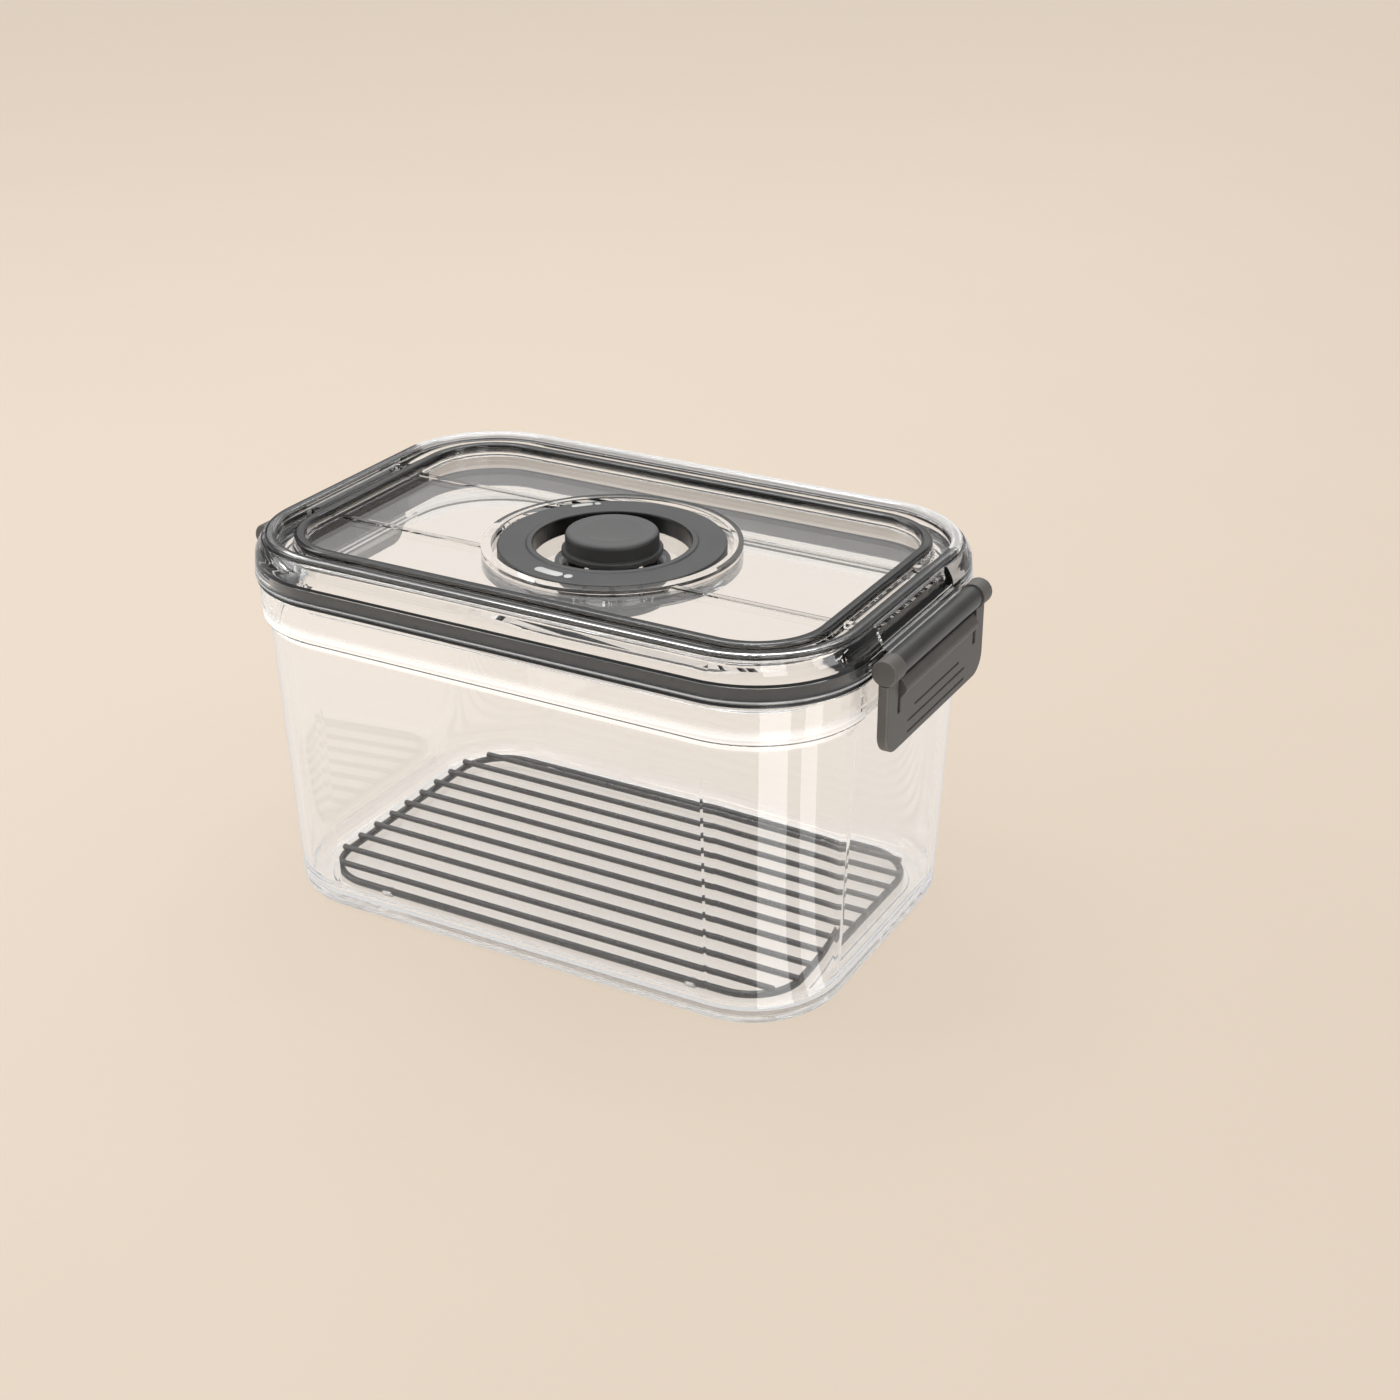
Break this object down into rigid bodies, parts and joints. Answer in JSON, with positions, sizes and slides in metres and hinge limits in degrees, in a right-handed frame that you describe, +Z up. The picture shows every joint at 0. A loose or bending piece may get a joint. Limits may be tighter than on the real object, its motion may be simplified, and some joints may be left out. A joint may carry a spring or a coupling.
{
  "type": "vacuum seal canister",
  "caption": "Clear rounded rectangular food canister with a latched clear lid, silicone gasket, push-release vacuum valve under a turning ring, and a draining rack inside.",
  "frame": {"origin": "under the middle of the base, on the surface the canister stands on", "axes": "+X along the long side to the right-hand latch, +Y to the back, +Z up"},
  "size_m": [0.2488, 0.1546, 0.1362],
  "materials": {
    "clear_plastic": "polished clear plastic",
    "seal_silicone": "satin moulded silicone",
    "clear_silicone": "clear moulded silicone",
    "strip_plastic": "smoked translucent strip",
    "button_silicone": "matte moulded silicone",
    "latch_plastic": "fine matte moulded plastic",
    "ring_plastic": "satin moulded plastic",
    "coated_wire": "satin dark coating on wire",
    "steel": "plain drawn wire"
  },
  "bodies": {
    "container": {"container_body": "clear_plastic"},
    "rack": {"drain_rack": "coated_wire", "rack_feet": "clear_silicone"},
    "lid": {"lid_shell": "clear_plastic", "rim_strip_outer": "strip_plastic", "rim_strip_inner": "strip_plastic", "lid_gasket": "seal_silicone", "check_disc": "seal_silicone", "valve_guard": "ring_plastic", "valve_spring": "steel"},
    "right_latch": {"latch_right": "latch_plastic", "latch_right_pin": "latch_plastic", "latch_right_caps": "latch_plastic"},
    "left_latch": {"latch_left": "latch_plastic", "latch_left_pin": "latch_plastic", "latch_left_caps": "latch_plastic"},
    "ring": {"valve_ring": "ring_plastic"},
    "button": {"valve_button": "button_silicone", "valve_plunger": "ring_plastic", "plunger_seal": "seal_silicone"}
  },
  "joints": [
    {"name": "lid_lift", "type": "slide", "parent": "container", "child": "lid", "axis": [0, 0, 1], "range_m": [0, 0.028]},
    {"name": "right_latch_swing", "type": "hinge", "parent": "lid", "child": "right_latch", "pos_m": [0.12, 0, 0.124], "axis": [0, -1, 0], "range_deg": [0, 140]},
    {"name": "left_latch_swing", "type": "hinge", "parent": "lid", "child": "left_latch", "pos_m": [-0.12, 0, 0.124], "axis": [0, 1, 0], "range_deg": [0, 140]},
    {"name": "ring_turn", "type": "hinge", "parent": "lid", "child": "ring", "pos_m": [0, 0, 0.129], "axis": [0, 0, 1], "range_deg": [0, 45]},
    {"name": "button_press", "type": "slide", "parent": "lid", "child": "button", "axis": [0, 0, -1], "range_m": [0, 0.002], "stiffness_N_per_m": 1500, "springref_m": -0.001, "deforming": ["valve_spring"]},
    {"name": "rack_lift", "type": "slide", "parent": "container", "child": "rack", "axis": [0, 0, 1], "range_m": [0, 0.09]}
  ],
  "couplings": [
    {"joint": "right_latch_swing", "follows": "lid_lift", "rad_per_m": 87.2},
    {"joint": "left_latch_swing", "follows": "lid_lift", "rad_per_m": 87.2}
  ]
}
